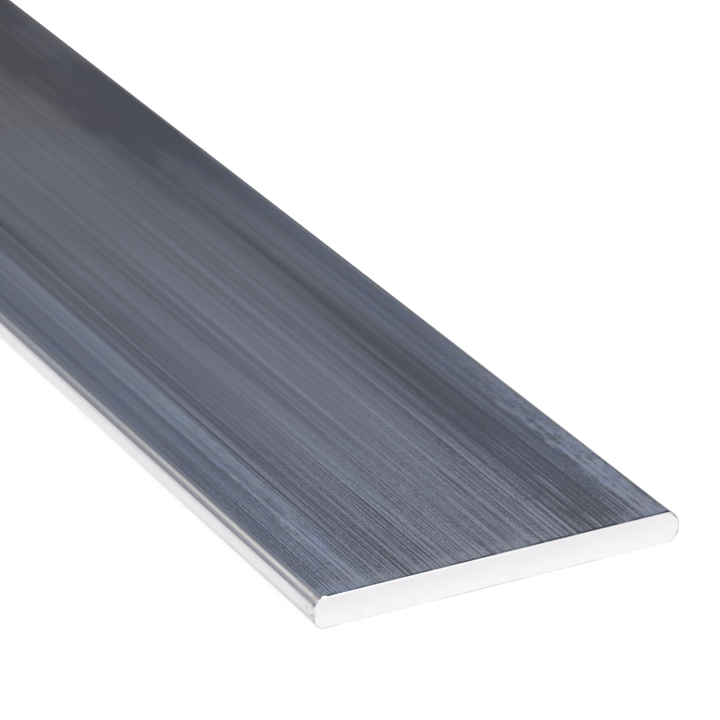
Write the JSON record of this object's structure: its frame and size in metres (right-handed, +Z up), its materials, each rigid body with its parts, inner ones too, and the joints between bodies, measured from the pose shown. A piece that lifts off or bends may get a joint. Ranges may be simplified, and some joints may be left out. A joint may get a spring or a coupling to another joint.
{
  "type": "metal flat bar",
  "caption": "Extruded aluminium flat bar with rounded long edges and square sawn ends, a plain length of framing and bracket stock.",
  "frame": {"origin": "middle of the bottom face, at half width and half length", "axes": "+Y along the length, +X across the width, +Z up out of the top face"},
  "size_m": [0.038, 0.9144, 0.0032],
  "materials": {
    "mill_aluminium": "mill finish, fine die lines along the length, bright sawn ends"
  },
  "bodies": {
    "root": {"flat_bar": "mill_aluminium"}
  },
  "joints": []
}
